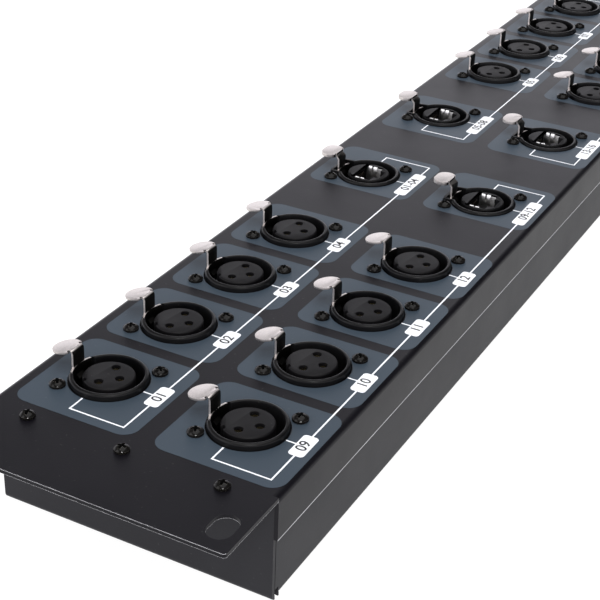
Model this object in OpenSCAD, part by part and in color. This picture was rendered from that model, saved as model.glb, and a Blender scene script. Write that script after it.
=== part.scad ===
// Passive rack panel that spreads four data sockets over sixteen three-pole sockets.
// It lies on its back: X runs along the panel, Y points to its top edge and Z out of its face.

/* [Layout] */
// Distance between neighbouring three-pole sockets
xlr_pitch = 35.2; // [33:0.1:38]
// Distance from a data socket to the nearest three-pole socket
data_pitch = 55.2; // [48:0.1:60]
// Distance between the two data sockets of a row
middle_pitch = 65; // [56:0.5:76]
// Distance between the two rows
row_pitch = 44.2; // [43:0.1:48]
// Distance from the outer sockets to the end of the panel
end_margin = 48; // [47:0.1:56]
// Distance from a row to the long edge of the panel
edge_margin = 21.95; // [21:0.05:26]

/* [Sheet metal] */
// Thickness of the panel and the cover
sheet = 1.2; // [1:0.1:1.5]
// Outer radius of the bends
bend_r = 2; // [1.8:0.1:3]
// Depth of the flanges along the long edges, from the front face
flange_depth = 13.4; // [8:0.1:18]
// Length of each ear, from the flange to the end of the panel
ear_length = 25.3; // [24:0.1:25.4]
// Corner radius of the ears
ear_corner_r = 1; // [0.5:0.1:3]
// Play between the cover and the flanges around it
cover_play = 0.1; // [0.1:0.05:0.3]
// Open slit at the corners of the cover
corner_slit = 0.3; // [0.2:0.05:0.6]
// Width of the cover's tabs behind the ears
tab_length = 9.5; // [8:0.1:12]
// Free depth behind the boards
under_board = 9.2; // [4:0.1:30]

/* [Rack slots] */
// Distance from the slots to the end of the panel
slot_inset = 8.75; // [8:0.05:10]
// Distance from the slots to the long edges of the panel
slot_edge = 5.95; // [5.5:0.05:8]
// Length of a slot
slot_length = 10; // [8:0.1:12]
// Width of a slot
slot_width = 7; // [6:0.1:8]

/* [Screws] */
// Diameter of the socket screws' heads
head_d = 4.6; // [4.2:0.1:5]
// Height of the socket screws' heads
head_h = 1.35; // [1.1:0.05:1.8]
// Diameter of the cover screws' heads
cover_head_d = 4.3; // [4.1:0.1:4.8]
// Height of the cover screws' heads
cover_head_h = 1.6; // [1.3:0.05:2]
// Diameter of the screw shanks
shank_d = 2.9; // [2.5:0.1:3]
// Length of the socket screws under the head
screw_length = 7; // [6:0.1:7.5]
// Length of the cover screws under the head
cover_screw_length = 4; // [3.5:0.1:6]
// Play around the shanks in the threaded holes
thread_play = 0.04; // [0.02:0.01:0.1]
// Play around the shanks in the panel
panel_play = 0.25; // [0.1:0.05:0.4]
// Distance of the cover screws from the flange ends
cover_screw_x = 3.2; // [3:0.1:4.5]
// Distance between the cover screws of one end
cover_screw_pitch = 29.9; // [26:0.1:31]

/* [Sockets] */
// Height of the ring of a three-pole socket over the panel
xlr_ring_h = 1.8; // [1.2:0.1:2.2]
// Height of the ring of a data socket over the panel
data_ring_h = 0.9; // [0.6:0.1:1.5]
// Outer radius of the rings
ring_r = 11.05; // [10.8:0.05:11.2]
// Inner radius of the rings
bore_r = 9.75; // [9.6:0.05:9.9]
// Gap between a ring and its hole in the panel
hole_gap = 0.3; // [0.2:0.05:0.5]
// Width of the plate behind the panel
plate_w = 26; // [25:0.1:28]
// Height of the plate behind the panel
plate_h = 31; // [30:0.1:33]
// Thickness of the plate behind the panel
plate_t = 2.4; // [2:0.1:3]
// Sideways distance of the socket screws from the middle
socket_screw_x = 9.8; // [9.5:0.1:10]
// Upward distance of the socket screws from the middle
socket_screw_y = 10.2; // [10:0.1:10.8]
// Depth of the shells behind the front face
shell_depth = 19; // [18:0.1:21]
// Depth of the boards behind the front face
board_depth = 22; // [21.5:0.1:24]

/* [Inserts] */
// Radius of a three-pole insert
xlr_insert_r = 7.3; // [7:0.05:7.5]
// Height of a three-pole insert over the panel
xlr_insert_h = 1.4; // [0.8:0.1:1.6]
// Radius of a data insert
data_insert_r = 7.45; // [7.35:0.05:7.6]
// Height of a data insert over the panel
data_insert_h = 0.6; // [0.4:0.1:0.8]
// Distance of the two upper contacts from the middle
contact_x = 4.15; // [3.9:0.05:4.3]
// Height of the two upper contacts over the middle
contact_y = 0.55; // [0.3:0.05:0.8]
// Distance of the lower contact from the middle
contact_low = 3.5; // [3.2:0.05:3.8]
// Diameter of the contact openings in the face
contact_hole_d = 2.6; // [2.5:0.05:2.8]
// Bore of the contact tubes
contact_bore_d = 2.4; // [2.3:0.05:2.5]
// Width of the well of a data insert
well_w = 11.8; // [11.6:0.1:12]
// Height of the well above the middle
well_up = 3.8; // [3.6:0.1:3.9]
// Height of the well below the middle
well_down = 3.2; // [3:0.1:3.4]

/* [Latches] */
// Thickness of the latch levers
lever_t = 0.6; // [0.5:0.05:0.7]
// Distance of the levers from the middle of a three-pole socket
xlr_lever_y = 10.35; // [10.3:0.05:10.4]
// Distance of the levers from the middle of a data socket
data_lever_y = 10.95; // [10.9:0.05:11]
// Width of the upright leg
leg_w = 5.1; // [4.6:0.1:5.4]
// Width of the wings at the foot of the leg
wing_w = 8.8; // [8:0.1:9.2]
// Radius of the three-pole levers' thumb disc
disc_r = 4.15; // [3.8:0.05:4.4]
// Slope of the thumb disc, outward and down, in degrees
disc_tilt = 11; // [0:1:16]
// Distance of the disc's middle from a three-pole lever's leg
xlr_disc_reach = 3.45; // [3.3:0.05:4]
// Height of the underside of a three-pole lever's disc over the panel, at the leg
xlr_disc_z = 6.4; // [5:0.1:7]
// Distance of the pad's middle from a data lever's leg
data_pad_reach = 3.8; // [3.6:0.05:4.2]
// Height of the underside of a data lever's pad over the panel
data_pad_z = 4.7; // [4.4:0.1:6]
// Width of the oval thumb pad of a data lever
data_pad_w = 9; // [8:0.1:9.6]
// Length of the oval thumb pad of a data lever
data_pad_l = 6.6; // [6:0.1:7.2]
// Thickness of the thumb pad of a data lever
data_pad_t = 1.2; // [0.8:0.1:1.4]
// Depth of the hinge behind the front face
hinge_depth = 5; // [4.6:0.1:5.5]
// Radius of the hinge pins
pin_r = 0.6; // [0.5:0.05:0.7]
// Play of the hinge pins in the levers
pin_play = 0.05; // [0.03:0.01:0.08]

/* [Hidden] */
$fn = 48;
group_size = 4;
eps = 0.02;

// The end and the back follow the sockets
group_names = ["a", "b", "c", "d"];
outer_x = middle_pitch / 2 + data_pitch + (group_size - 1) * xlr_pitch;
panel_half_w = outer_x + end_margin;
panel_half_h = row_pitch / 2 + edge_margin;
flange_half = panel_half_w - ear_length;
board_t = 1.6;
front_z = board_depth + board_t + under_board + sheet;

cover_half_w = flange_half - 0.2;
cover_half_h = panel_half_h - sheet - cover_play;
tab_hole_x = flange_half + cover_screw_x;

hole_r = ring_r + hole_gap;
barrel_r = ring_r + 0.55;
floor_z = -shell_depth + 1.5;
base_t = 3;
base_r = bore_r - 0.15;
boss_r = shank_d / 2 + 0.95;

eye_r = pin_r + 0.6;
hinge_out = 0.5;
pocket_half_w = wing_w / 2 + 0.7;
pocket_depth = hinge_depth + eye_r + 2.2;
pocket_wall = 1.2;
lever_clear = 0.35;
leg_swing = 0.92;
hood_wall = 0.8;
hood_floor = -sheet - 0.8;
hood_r = 1.4;
hood_back = data_lever_y + lever_t / 2 + 0.6;
pin_half = pocket_half_w + pocket_wall + 0.3;

wire_pitch = 1.02;
wire_w = 0.45;
wire_t = 0.35;
wire_y = well_up + 1.3;
shield_t = 0.25;
tail_end = board_depth + board_t + 1.6;

// Places of the sockets: groups a and b are the upper row, c and d the lower one
function group_side(g) = g % 2 == 0 ? -1 : 1;
function group_y(g) = (g < 2 ? 1 : -1) * row_pitch / 2;
function data_place(g) = [group_side(g) * middle_pitch / 2, group_y(g)];
function column(g, k) = group_side(g) < 0 ? group_size - 1 - k : k;
function xlr_place(g, k) = [
    group_side(g) * (middle_pitch / 2 + data_pitch + column(g, k) * xlr_pitch), group_y(g)
];
xlr_places = [for (g = [0:3]) for (k = [0:group_size - 1]) xlr_place(g, k)];
data_places = [for (g = [0:3]) data_place(g)];
contact_places = [[-contact_x, contact_y], [contact_x, contact_y], [0, -contact_low]];
socket_screw_places = [[-socket_screw_x, socket_screw_y], [socket_screw_x, -socket_screw_y]];

function two_digits(n) = n < 10 ? str("0", n) : str(n);
xlr_shell_names = [for (n = [1:len(xlr_places)]) str("xlr_shell_", two_digits(n))];
xlr_lever_names = [for (n = [1:len(xlr_places)]) str("xlr_lever_", two_digits(n))];
xlr_insert_names = [for (g = group_names) str("xlr_inserts_", g)];
data_shell_names = [for (g = group_names) str("data_shell_", g)];
data_lever_names = [for (g = group_names) str("data_lever_", g)];
board_names = [for (g = group_names) str("board_", g)];

// Points of an arc about c, from angle a to angle b
function arc(c, r, a, b, n = 6) = [
    for (i = [0:n]) let (t = a + (b - a) * i / n) c + r * [cos(t), sin(t)]
];

// Outline of a strip of thickness t along a path
function unit(v) = v / norm(v);
function beside(path, i, d) = let (
    last = len(path) - 1,
    a = unit(i == 0 ? path[1] - path[0] : path[i] - path[i - 1]),
    b = unit(i == last ? path[last] - path[last - 1] : path[i + 1] - path[i]),
    n = unit(a + b)
) path[i] + d * [-n[1], n[0]] / (a * n);
function strip(path, t) = concat(
    [for (i = [0:len(path) - 1]) beside(path, i, t / 2)],
    [for (i = [len(path) - 1:-1:0]) beside(path, i, -t / 2)]
);

// Stands a Y-Z outline up as a bar along X
module bar_x(half, outline) {
    rotate([90, 0, 90]) translate([0, 0, -half]) linear_extrude(2 * half) polygon(outline);
}

// Stands an X-Z outline up as a bar along Y, from y0 to y1
module bar_y(y0, y1, outline) {
    translate([0, y1, 0]) rotate([90, 0, 0]) linear_extrude(y1 - y0) polygon(outline);
}

module box(low, high) {
    translate(low) cube(high - low);
}

// Cylinder about Z from z0 to z1
module rod(r, z0, z1) {
    translate([0, 0, z0]) cylinder(r = r, h = z1 - z0);
}

module rounded_plate(half_w, half_h, r, z0, z1) {
    translate([0, 0, z0]) linear_extrude(z1 - z0) {
        square([2 * (half_w - r), 2 * half_h], center = true);
        square([2 * half_w, 2 * (half_h - r)], center = true);
        for (x = [-1, 1]) for (y = [-1, 1])
            translate([x * (half_w - r), y * (half_h - r)]) circle(r);
    }
}

module at_socket(place) {
    translate([place[0], place[1], front_z]) children();
}

// Outline of the block round a latch: straight sides and two rounded outer corners
module pocket_block(half_w, out, r, z0, z1) {
    translate([0, 0, z0]) linear_extrude(z1 - z0) {
        translate([-half_w, 0]) square([2 * half_w, out - r]);
        translate([r - half_w, 0]) square([2 * (half_w - r), out]);
        for (x = [-1, 1]) translate([x * (half_w - r), out - r]) circle(r);
    }
}

// Holes that a socket, its screws and its latch need in the panel
module socket_hole() {
    rod(hole_r, -sheet - 1, 1);
    for (p = socket_screw_places) translate(p) rod(shank_d / 2 + panel_play, -sheet - 1, 1);
}

module xlr_socket_hole() {
    leg_room = leg_w / 2 + lever_clear;
    socket_hole();
    intersection() {
        rod(xlr_lever_y + lever_t / 2 + leg_swing, -sheet - 1, 1);
        box([-leg_room, 0, -sheet - 1], [leg_room, 2 * hole_r, 1]);
    }
}

module data_socket_hole() {
    socket_hole();
    pocket_block(pocket_half_w + hood_wall + hole_gap, hood_back + hood_wall + hole_gap,
        hood_r + hole_gap, -sheet - 1, 1);
}

module front_panel() {
    color("#333236") difference() {
        translate([0, 0, front_z]) {
            for (side = [-1, 1]) scale_x(side)
                translate([(flange_half + panel_half_w) / 2, 0, 0])
                    rounded_ear();
            box([-flange_half - eps, -panel_half_h + bend_r, -sheet],
                [flange_half + eps, panel_half_h - bend_r, 0]);
            for (side = [-1, 1]) mirror([0, side < 0 ? 1 : 0, 0])
                bar_x(flange_half, strip(concat(
                    [[panel_half_h - bend_r - 1, -sheet / 2]],
                    arc([panel_half_h - bend_r, -bend_r], bend_r - sheet / 2, 90, 0),
                    [[panel_half_h - sheet / 2, -flange_depth]]
                ), sheet));
        }
        for (p = xlr_places) at_socket(p) xlr_socket_hole();
        for (p = data_places) at_socket(p) data_socket_hole();
        for (x = [-1, 1]) for (y = [-1, 1])
            translate([x * (panel_half_w - slot_inset), y * (panel_half_h - slot_edge), front_z])
                rack_slot();
        cover_screw_places() rod(shank_d / 2 + panel_play, -sheet - 1, 1);
    }
}

module scale_x(side) {
    mirror([side < 0 ? 1 : 0, 0, 0]) children();
}

// Flat ear: its outer corners are round, its inner side meets the panel
module rounded_ear() {
    half = ear_length / 2;
    translate([0, 0, -sheet]) linear_extrude(sheet) {
        translate([-half, -panel_half_h]) square([ear_length - ear_corner_r, 2 * panel_half_h]);
        translate([0, ear_corner_r - panel_half_h])
            square([half, 2 * (panel_half_h - ear_corner_r)]);
        for (y = [-1, 1]) translate([half - ear_corner_r, y * (panel_half_h - ear_corner_r)])
            circle(ear_corner_r);
    }
}

module rack_slot() {
    reach = (slot_length - slot_width) / 2;
    for (x = [-reach, reach]) translate([x, 0, 0]) rod(slot_width / 2, -sheet - 1, 1);
    box([-reach, -slot_width / 2, -sheet - 1], [reach, slot_width / 2, 1]);
}

module cover_screw_places() {
    for (x = [-1, 1]) for (k = [-1:1])
        translate([x * tab_hole_x, k * cover_screw_pitch, front_z]) children();
}

module rear_cover() {
    wall = sheet / 2;
    low = wall;
    top = front_z - sheet;
    side_top = front_z - bend_r - 0.2;
    tab_half_h = panel_half_h - bend_r - 0.2;
    end_x = cover_half_w - wall;
    side_y = cover_half_h - wall;
    mid_r = bend_r - wall;
    color("#47464b") difference() {
        union() {
            // End walls with the tabs that carry the screws
            for (side = [-1, 1]) scale_x(side) bar_y(-cover_half_h, cover_half_h, strip(concat(
                [[end_x - bend_r - 1, low]],
                arc([end_x - mid_r, low + mid_r], mid_r, -90, 0),
                arc([end_x + mid_r, top - wall - mid_r], mid_r, 180, 90),
                [[cover_half_w + tab_length, top - wall]]
            ), sheet));
            // Long walls between the end walls
            for (side = [-1, 1]) mirror([0, side < 0 ? 1 : 0, 0])
                bar_x(cover_half_w - sheet - corner_slit, strip(concat(
                    [[side_y - bend_r - 1, low]],
                    arc([side_y - mid_r, low + mid_r], mid_r, -90, 0),
                    [[side_y, side_top]]
                ), sheet));
            box([-cover_half_w + bend_r, -cover_half_h + bend_r, 0],
                [cover_half_w - bend_r, cover_half_h - bend_r, sheet]);
        }
        cover_screw_places() rod(shank_d / 2 + thread_play, -3 * sheet, 0);
        // The bends stay open at the corners, and the tabs clear the flanges
        for (x = [-1, 1]) for (y = [-1, 1]) scale_x(x) mirror([0, y < 0 ? 1 : 0, 0]) {
            box([cover_half_w - bend_r - sheet, cover_half_h - bend_r - eps, -1],
                [cover_half_w - sheet - corner_slit + eps, cover_half_h + 1, bend_r + sheet]);
            box([cover_half_w - bend_r - sheet, tab_half_h, side_top - 0.3],
                [cover_half_w + tab_length + 1, cover_half_h + 1, front_z]);
        }
    }
}

// Domed screw with a cross recess, its head resting at z = 0
module screw(length, d, h) {
    edge = h * 0.45;
    dome = h - edge;
    dome_r = (pow(d / 2, 2) + dome * dome) / (2 * dome);
    dome_a = asin(d / 2 / dome_r);
    slot = 0.75;
    difference() {
        union() {
            rotate_extrude() polygon(concat(
                [[0, 0], [d / 2, 0]],
                arc([0, h - dome_r], dome_r, 90 - dome_a, 90)
            ));
            rod(shank_d / 2, -length, eps);
        }
        for (a = [0, 90]) rotate(a)
            box([-d * 0.3, -slot / 2, h - 1], [d * 0.3, slot / 2, h + 1]);
    }
}

module cover_screws() {
    color("#1d1b1c") cover_screw_places() screw(cover_screw_length, cover_head_d, cover_head_h);
}

module socket_screws() {
    color("#1d1b1c") for (p = concat(xlr_places, data_places)) at_socket(p)
        for (s = socket_screw_places) translate(s) screw(screw_length, head_d, head_h);
}

// Ring, plate, barrel and latch pocket of one socket; a hood covers the latch of a data socket
module socket_shell(ring_h, lever_y, hooded) {
    pocket_out = lever_y + hinge_out + eye_r + lever_clear;
    pocket_top = hooded ? hood_floor : ring_h + 1;
    hinge = [lever_y + hinge_out, -hinge_depth];
    rim = 0.8;
    lip = 0.3;
    difference() {
        union() {
            rotate_extrude() polygon(concat(
                [[bore_r, floor_z], [bore_r, ring_h - lip]],
                arc([bore_r + lip, ring_h - lip], lip, 180, 90, 2),
                arc([ring_r - rim, ring_h - rim], rim, 90, 0, 4),
                [[ring_r, -sheet], [barrel_r, -sheet], [barrel_r, -shell_depth]],
                [[bore_r - 0.95, -shell_depth], [bore_r - 0.95, floor_z]]
            ));
            difference() {
                rounded_plate(plate_w / 2, plate_h / 2, 2.5, -sheet - plate_t, -sheet);
                rod(bore_r + 0.5, -sheet - plate_t - 1, 0);
            }
            difference() {
                box([-pocket_half_w - pocket_wall, bore_r - 2, -pocket_depth - pocket_wall],
                    [pocket_half_w + pocket_wall, pocket_out + pocket_wall, -sheet - eps]);
                rod(bore_r + 0.5, -pocket_depth - pocket_wall - 1, 0);
            }
            if (hooded) difference() {
                pocket_block(pocket_half_w + hood_wall, hood_back + hood_wall, hood_r,
                    -sheet - eps, ring_h);
                rod(bore_r + 0.5, -sheet - 1, ring_h + 1);
            }
            for (p = socket_screw_places) translate(p) rod(boss_r, -screw_length - 1.2, -sheet - eps);
            for (x = [-1, 1]) translate([x * (bore_r + 0.8), -2, 0])
                rod(1, -board_depth, -shell_depth + eps);
        }
        box([-pocket_half_w, bore_r - 2, -pocket_depth], [pocket_half_w, pocket_out, pocket_top]);
        if (hooded) box([-pocket_half_w, bore_r - 2, hood_floor - eps],
            [pocket_half_w, hood_back, ring_h + 1]);
        translate([0, hinge[0], hinge[1]]) rotate([0, 90, 0])
            rod(pin_r + 0.02, -pin_half - 1, pin_half + 1);
        for (p = socket_screw_places) translate(p)
            rod(shank_d / 2 + thread_play, -screw_length - 0.4, 0);
    }
}

module xlr_shell(i) {
    color("#1b1b1d") at_socket(xlr_places[i]) socket_shell(xlr_ring_h, xlr_lever_y, false);
}

module data_shell(i) {
    color("#1b1b1d") at_socket(data_places[i]) socket_shell(data_ring_h, data_lever_y, true);
}

// Foot that closes the rear of a socket and holds its insert
module insert_body(r, h) {
    chamfer = 0.35;
    rotate_extrude() polygon([
        [0, floor_z], [base_r, floor_z], [base_r, floor_z + base_t], [r, floor_z + base_t],
        [r, h - chamfer], [r - chamfer, h], [0, h]
    ]);
}

module xlr_insert() {
    key_angle = 138;
    difference() {
        insert_body(xlr_insert_r, xlr_insert_h);
        for (p = contact_places) translate(p) {
            rod(contact_hole_d / 2, 0, xlr_insert_h + 1);
            rod(contact_bore_d / 2 + 0.3, floor_z + base_t, xlr_insert_h - 1);
            rod(0.55, floor_z - 1, floor_z + base_t + eps);
        }
        rotate(key_angle) box([xlr_insert_r - 0.9, -0.75, floor_z + base_t],
            [xlr_insert_r + 1, 0.75, xlr_insert_h + 1]);
    }
}

module xlr_inserts(g) {
    color("#2a292c") for (k = [0:group_size - 1]) at_socket(xlr_place(g, k)) xlr_insert();
}

module xlr_contacts() {
    top = xlr_insert_h - 1.1;
    foot = floor_z + base_t + 0.1;
    color("#b9a77c") for (p = xlr_places) at_socket(p) for (c = contact_places) translate(c) {
        difference() {
            rod(contact_bore_d / 2 + 0.25, foot, top);
            rod(contact_bore_d / 2, foot + 1.2, top + 1);
        }
        rod(0.45, -tail_end, foot + eps);
    }
}

// Places of the wires along X, from the middle of a data socket
wire_places = [for (n = [0:7]) (n - 3.5) * wire_pitch];

module data_insert() {
    well_floor = -shell_depth + 5.4;
    difference() {
        insert_body(data_insert_r, data_insert_h);
        box([-well_w / 2, -well_down, well_floor], [well_w / 2, well_up, data_insert_h + 1]);
        // Slot for the plug's clip
        box([-3.1, -well_down - 2.1, -9], [3.1, -well_down + eps, data_insert_h + 1]);
        // Room for the wires behind the front lip
        box([-4.2, well_up - eps, well_floor], [4.2, well_up + 1.8, -1]);
        box([-4.2, wire_y - 0.33, floor_z - 1], [4.2, wire_y + 0.33, well_floor + eps]);
    }
}

module data_inserts() {
    color("#232226") for (p = data_places) at_socket(p) data_insert();
}

// Eight sprung wires: each leans into the well and ends as a tail in the board
module data_contacts() {
    path = [
        [wire_y, -tail_end], [wire_y, -2.1], [wire_y - 0.4, -1.5], [wire_y - 1.3, -1.5],
        [well_up - 0.4, -2.2], [well_up - 1.9, -7.5]
    ];
    color("#c9a85a") for (p = data_places) at_socket(p) for (x = wire_places)
        translate([x, 0, 0]) bar_x(wire_w / 2, strip(path, wire_t));
}

// Lining of the well: two side plates joined at its foot, each with two sprung tabs
module data_shield() {
    floor_y = -shell_depth + 5.4;
    x = well_w / 2 - shield_t / 2;
    plate = concat(
        [[-x, 0]], [[-x, floor_y + shield_t / 2]], [[x, floor_y + shield_t / 2]], [[x, 0]]
    );
    tab = [
        [x, -1], [x, 0.2], [x - 0.2, 0.5], [x - 0.5, 0.45], [x - 0.7, 0.1], [x - 0.85, -2.1],
        [x - 0.6, -3.1]
    ];
    bar_y(-well_down + 0.3, well_up - 0.3, strip(plate, shield_t));
    for (side = [-1, 1]) scale_x(side) for (y = [-0.25, 1.75])
        bar_y(y - 0.7, y + 0.7, strip(tab, shield_t));
}

module data_shields() {
    color("#d4d0ca") for (p = data_places) at_socket(p) data_shield();
}

// Board under the five sockets of a group
module board(g) {
    reach = 15;
    half_h = row_pitch / 2 - 5;
    inner = abs(data_place(g)[0]) - reach;
    outer = outer_x + reach;
    color("#1f4a35") difference() {
        scale_x(group_side(g)) box([inner, group_y(g) - half_h, front_z - board_depth - board_t],
            [outer, group_y(g) + half_h, front_z - board_depth]);
        for (k = [0:group_size - 1]) at_socket(xlr_place(g, k)) for (c = contact_places)
            translate(c) rod(0.55, -tail_end, -board_depth + 1);
        at_socket(data_place(g)) for (x = wire_places)
            translate([x, wire_y, 0]) rod(0.36, -tail_end, -board_depth + 1);
    }
}

// Sprung latch lever: a bent sheet with its thumb piece, wings, a hook and a rolled hinge eye
module lever(lever_y, neck_z, wing_top, path) {
    relief = 0.45;
    difference() {
        union() {
            bar_x(leg_w / 2, strip(path, lever_t));
            children();
            // Wings that follow the ring
            intersection() {
                difference() {
                    rod(lever_y + lever_t / 2, -hinge_depth + eye_r + 0.6, wing_top);
                    rod(lever_y - lever_t / 2, -hinge_depth, wing_top + 1);
                }
                box([-wing_w / 2, 0, -hinge_depth], [wing_w / 2, 2 * lever_y, wing_top + 1]);
            }
            // Hook that holds the plug
            bar_x(1.5, [
                [lever_y - 0.1, -0.8], [lever_y - 1.45, -1.9], [lever_y - 1.45, -2.4],
                [lever_y - 0.1, -2.9]
            ]);
            translate([0, lever_y + hinge_out, -hinge_depth]) rotate([0, 90, 0])
                rod(eye_r, -wing_w / 2, wing_w / 2);
        }
        translate([0, lever_y + hinge_out, -hinge_depth]) rotate([0, 90, 0])
            rod(pin_r + pin_play, -wing_w, wing_w);
        for (x = [-1, 1]) translate([x * (leg_w / 2 + 0.15), lever_y + 1, 0])
            rod(relief, neck_z - 1.2, neck_z + 2);
    }
}

// The disc slopes down from the top of the leg
module xlr_lever(i) {
    turn = 0.75;
    slope = [cos(disc_tilt), -sin(disc_tilt)];
    rise = [sin(disc_tilt), cos(disc_tilt)];
    top = [xlr_lever_y, xlr_disc_z];
    turn_z = xlr_disc_z + (lever_t / 2 - turn - turn * sin(disc_tilt)) / cos(disc_tilt);
    color("#d9d3cd") at_socket(xlr_places[i])
        lever(xlr_lever_y, xlr_disc_z, xlr_ring_h, concat(
            [[xlr_lever_y, -hinge_depth + eye_r / 2]],
            arc([xlr_lever_y + turn, turn_z], turn, 180, 90 - disc_tilt, 5),
            [top + slope * xlr_disc_reach * 0.6 + rise * lever_t / 2]
        ))
            translate([0, top[0], top[1]]) rotate([-disc_tilt, 0, 0]) intersection() {
                translate([0, xlr_disc_reach, 0]) rod(disc_r, 0, lever_t);
                box([-disc_r - 1, turn - 0.1, -1], [disc_r + 1, xlr_disc_reach + disc_r + 1, lever_t + 1]);
            }
}

// The neck of a data lever leans outward before it meets the oval pad
module data_lever(i) {
    mid_z = data_pad_z + data_pad_t / 2;
    pad_y = data_lever_y + data_pad_reach;
    round_r = data_pad_l / 2;
    side = data_pad_w / 2 - round_r;
    color("#d9d3cd") at_socket(data_places[i])
        lever(data_lever_y, mid_z - 0.3, 0.2, [
            [data_lever_y, -hinge_depth + eye_r / 2], [data_lever_y, mid_z - 1.6],
            [data_lever_y + 0.15, mid_z - 1.25], [data_lever_y + 1.3, mid_z - 0.2],
            [data_lever_y + 1.7, mid_z], [pad_y - 1, mid_z]
        ])
            intersection() {
                translate([0, pad_y, 0]) union() {
                    for (x = [-side, side]) translate([x, 0, 0]) rod(round_r, data_pad_z, data_pad_z + data_pad_t);
                    box([-side, -round_r, data_pad_z], [side, round_r, data_pad_z + data_pad_t]);
                }
                box([-data_pad_w, data_lever_y + 1.1, data_pad_z - 1], [data_pad_w, pad_y + data_pad_l, data_pad_z + 3]);
            }
}

module lever_pin(lever_y) {
    translate([0, lever_y + hinge_out, -hinge_depth]) rotate([0, 90, 0])
        rod(pin_r, -pin_half + 0.3, pin_half - 0.3);
}

module lever_pins() {
    color("#a8a7a5") {
        for (p = xlr_places) at_socket(p) lever_pin(xlr_lever_y);
        for (p = data_places) at_socket(p) lever_pin(data_lever_y);
    }
}

// Leaf spring folded between the pocket's outer wall and the back of the lever
module lever_spring(lever_y, top) {
    t = 0.2;
    wall_y = lever_y + hinge_out + eye_r + lever_clear - t / 2;
    tip_y = lever_y + lever_t / 2 + 0.6;
    bar_x(1.6, strip([
        [wall_y, top], [wall_y, top - 1.7], [wall_y - 0.12, top - 1.95],
        [wall_y - 0.35, top - 1.9], [tip_y + 0.12, top - 0.4], [tip_y + 0.2, top]
    ], t));
}

module lever_springs() {
    color("#9a9a9c") {
        for (p = xlr_places) at_socket(p) lever_spring(xlr_lever_y, -1.5);
        for (p = data_places) at_socket(p) lever_spring(data_lever_y, hood_floor - 0.3);
    }
}

front_panel();
rear_cover();
cover_screws();
socket_screws();
for (i = [0:len(xlr_places) - 1]) xlr_shell(i);
for (i = [0:len(data_places) - 1]) data_shell(i);
for (i = [0:len(xlr_places) - 1]) xlr_lever(i);
for (i = [0:len(data_places) - 1]) data_lever(i);
for (g = [0:3]) xlr_inserts(g);
for (g = [0:3]) board(g);
data_inserts();
data_shields();
xlr_contacts();
data_contacts();
lever_pins();
lever_springs();
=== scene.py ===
# Rack panel with three-pole and data sockets, dressed for a plain studio picture
import math

import bmesh
import bpy
from mathutils import Matrix, Vector


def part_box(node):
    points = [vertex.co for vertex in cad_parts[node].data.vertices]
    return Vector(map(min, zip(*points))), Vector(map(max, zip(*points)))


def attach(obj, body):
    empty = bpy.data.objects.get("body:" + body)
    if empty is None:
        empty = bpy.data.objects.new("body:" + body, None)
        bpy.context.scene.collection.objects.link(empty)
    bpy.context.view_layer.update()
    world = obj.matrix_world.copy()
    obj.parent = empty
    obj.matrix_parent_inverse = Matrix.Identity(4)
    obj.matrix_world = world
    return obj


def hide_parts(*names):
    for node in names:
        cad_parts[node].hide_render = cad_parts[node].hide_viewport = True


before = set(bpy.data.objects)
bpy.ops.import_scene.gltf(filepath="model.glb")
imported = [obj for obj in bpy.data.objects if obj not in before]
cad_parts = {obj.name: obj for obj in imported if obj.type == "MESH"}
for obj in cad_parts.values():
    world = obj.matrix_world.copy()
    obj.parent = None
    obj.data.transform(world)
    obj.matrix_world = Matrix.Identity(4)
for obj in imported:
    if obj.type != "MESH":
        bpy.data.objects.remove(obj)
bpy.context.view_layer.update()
mm = 0.001
unitBody = "rack_unit"
groupLetters = "abcd"


def middleOf(node):
    low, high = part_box(node)
    return (low + high) / 2


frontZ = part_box("front_panel")[1].z
xlrNodes = [f"xlr_shell_{n:02d}" for n in range(1, 17)]
dataNodes = [f"data_shell_{g}" for g in groupLetters]
xlrPlaces = [Vector((*middleOf(n).xy, frontZ)) for n in xlrNodes]
dataPlaces = [Vector((*middleOf(n).xy, frontZ)) for n in dataNodes]
print("frame loaded")


# Node helpers

def feed(tree, socket, value):
    # Links a socket to another node's output, or sets it to a plain value
    if hasattr(value, "is_linked"):
        tree.links.new(value, socket)
    else:
        socket.default_value = value


def newGroup(name, inputs, outputs):
    tree = bpy.data.node_groups.new(name, "ShaderNodeTree")
    for label, kind, value in inputs:
        socket = tree.interface.new_socket(label, in_out="INPUT", socket_type=kind)
        socket.default_value = value
    for label, kind in outputs:
        tree.interface.new_socket(label, in_out="OUTPUT", socket_type=kind)
    return tree, tree.nodes.new("NodeGroupInput"), tree.nodes.new("NodeGroupOutput")


def mathNode(tree, operation, first, second=None, clamp=False):
    node = tree.nodes.new("ShaderNodeMath")
    node.operation = operation
    node.use_clamp = clamp
    feed(tree, node.inputs[0], first)
    if second is not None:
        feed(tree, node.inputs[1], second)
    return node.outputs[0]


def vectorNode(tree, operation, first, second):
    node = tree.nodes.new("ShaderNodeVectorMath")
    node.operation = operation
    feed(tree, node.inputs[0], first)
    feed(tree, node.inputs["Scale" if operation == "SCALE" else 1], second)
    return node.outputs["Value" if operation == "DOT_PRODUCT" else "Vector"]


def splitNode(tree, vector):
    node = tree.nodes.new("ShaderNodeSeparateXYZ")
    tree.links.new(vector, node.inputs["Vector"])
    return node.outputs


def noiseNode(tree, vector, scale, detail=3.0, roughness=0.55):
    node = tree.nodes.new("ShaderNodeTexNoise")
    for label, value in (("Vector", vector), ("Scale", scale), ("Detail", detail), ("Roughness", roughness)):
        feed(tree, node.inputs[label], value)
    return node.outputs["Fac"]


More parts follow.
